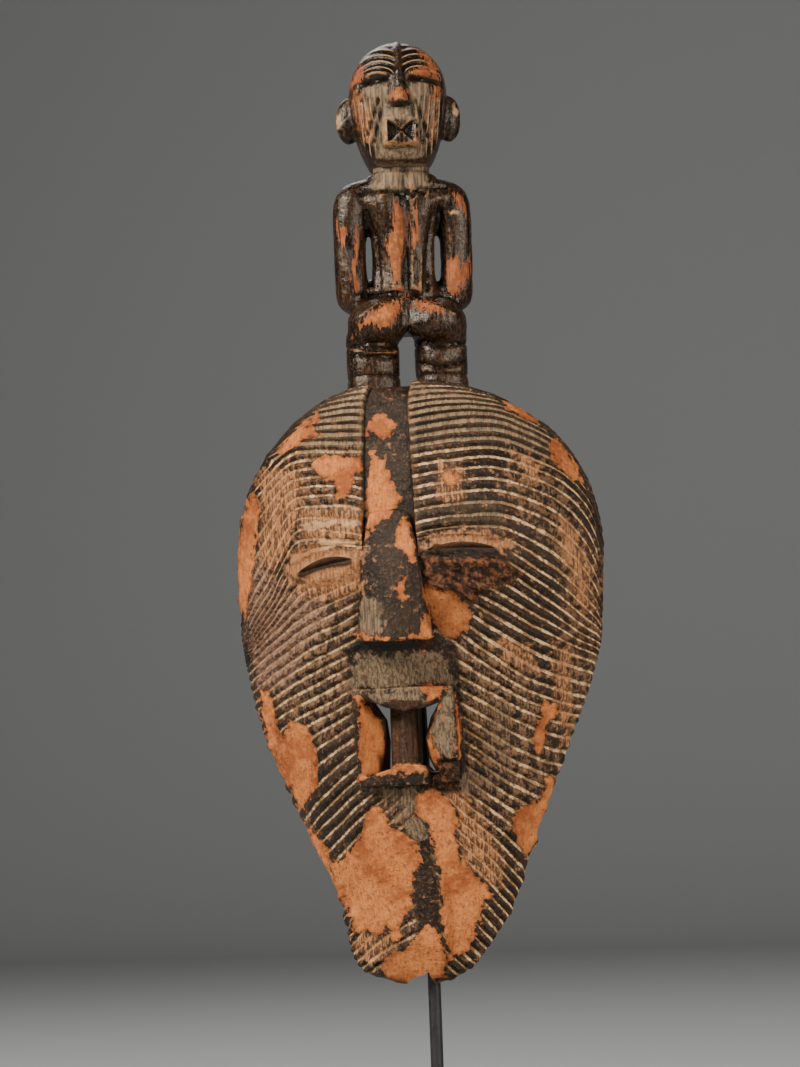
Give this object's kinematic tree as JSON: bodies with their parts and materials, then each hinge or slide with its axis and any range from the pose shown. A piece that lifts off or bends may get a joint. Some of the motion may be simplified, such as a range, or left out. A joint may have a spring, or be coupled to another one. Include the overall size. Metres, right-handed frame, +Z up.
{
  "type": "carved wooden face mask with a standing two-faced figure on its crown, on a rod stand",
  "caption": "Tall domed wooden face mask cut all over with curved stripes, with a small two-faced figure on its crown, held upright on a steel rod and square foot.",
  "frame": {"origin": "middle of the underside of the stand's foot", "axes": "+Z up, -Y the way the mask looks, +X to the right as seen from the front"},
  "size_m": [0.266, 0.1947, 0.801],
  "materials": {
    "carved_wood": "red-brown hardwood, blackened and polished by handling, worn back to bare wood in patches, pale clay rubbed into the carved stripes",
    "rod_steel": "round steel rod, satin black",
    "foot_steel": "square steel plate with bevelled upper edges, satin black"
  },
  "bodies": {
    "root": {"mask": "carved_wood", "stand_rod": "rod_steel", "stand_foot": "foot_steel"}
  },
  "joints": []
}
